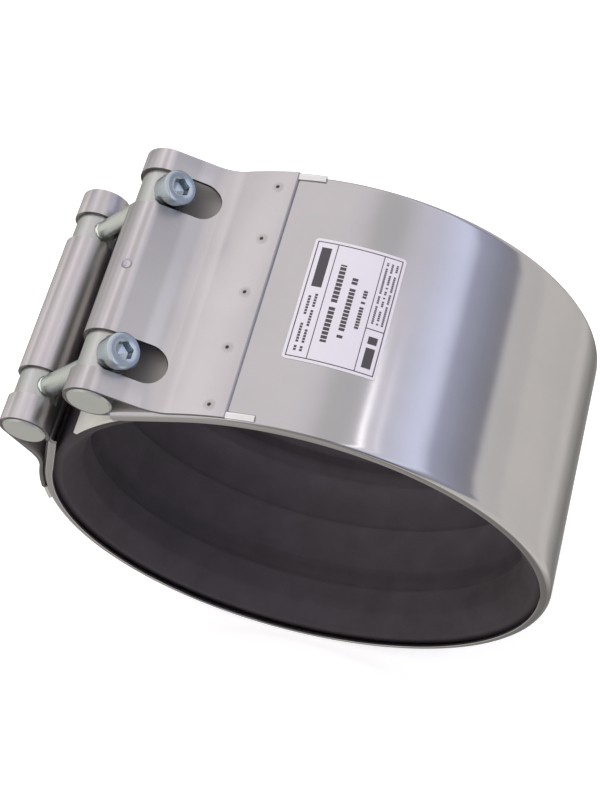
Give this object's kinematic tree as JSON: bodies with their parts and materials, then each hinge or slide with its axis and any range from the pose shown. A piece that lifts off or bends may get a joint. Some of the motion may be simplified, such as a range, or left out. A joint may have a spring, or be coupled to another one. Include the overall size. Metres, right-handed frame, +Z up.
{
  "type": "pipe repair clamp",
  "caption": "Wide stainless sheet coupling with turned-in edges round a rubber sealing sleeve, closed by socket screws through two round bars in folded loops.",
  "frame": {"origin": "on the pipe axis, half way along the coupling", "axes": "+Y along the pipe, +Z up, +X away from the closure, which is up and to the left seen from -Y"},
  "size_m": [0.2044, 0.1008, 0.1956],
  "materials": {
    "casing_sheet": "rolled stainless sheet, satin with soft streaks",
    "weld_mark": "heat-darkened spot-weld marks",
    "clip_steel": "bright folded sheet",
    "bar_steel": "drawn bar with turned ends",
    "screw_zinc": "bright bluish zinc plating",
    "plate_steel": "thin smooth sheet",
    "sleeve_rubber": "matt moulded rubber",
    "label_film": null
  },
  "bodies": {
    "far_half": {"casing_far": "casing_sheet", "spot_welds_far": "weld_mark", "edge_clip_far_front": "clip_steel", "edge_clip_far_rear": "clip_steel", "sealing_sleeve": "sleeve_rubber"},
    "near_half": {"casing_near": "casing_sheet", "spot_welds_near": "weld_mark", "edge_clip_near_front": "clip_steel", "edge_clip_near_rear": "clip_steel", "bridge_plate": "plate_steel", "label": "label_film"},
    "far_bar": {"clamp_bar_far": "bar_steel"},
    "near_bar": {"clamp_bar_near": "bar_steel"},
    "front_screw": {"screw_front": "screw_zinc"},
    "rear_screw": {"screw_rear": "screw_zinc"}
  },
  "joints": [
    {"name": "closing", "type": "hinge", "parent": "far_half", "child": "near_half", "pos_m": [0.07596, 0, -0.05935], "axis": [0, -1, 0], "range_deg": [0, 6], "deforming": ["sealing_sleeve"]},
    {"name": "far_bar_turn", "type": "hinge", "parent": "far_half", "child": "far_bar", "pos_m": [-0.0981, 0, 0.04745], "axis": [0, -1, 0], "range_deg": [0, 3]},
    {"name": "near_bar_turn", "type": "hinge", "parent": "near_half", "child": "near_bar", "pos_m": [-0.06977, 0, 0.0837], "axis": [0, -1, 0], "range_deg": [-3, 0]},
    {"name": "front_screw_spin", "type": "hinge", "parent": "near_bar", "child": "front_screw", "pos_m": [-0.06977, -0.0335, 0.0837], "axis": [-0.6157, 0, -0.788], "range_deg": [0, 6120]},
    {"name": "rear_screw_spin", "type": "hinge", "parent": "near_bar", "child": "rear_screw", "pos_m": [-0.06977, 0.0335, 0.0837], "axis": [-0.6157, 0, -0.788], "range_deg": [0, 6120]}
  ],
  "couplings": [
    {"joint": "far_bar_turn", "follows": "closing", "ratio": 0.5},
    {"joint": "near_bar_turn", "follows": "closing", "ratio": -0.5},
    {"joint": "front_screw_spin", "follows": "closing", "ratio": 1020},
    {"joint": "rear_screw_spin", "follows": "closing", "ratio": 1020}
  ]
}
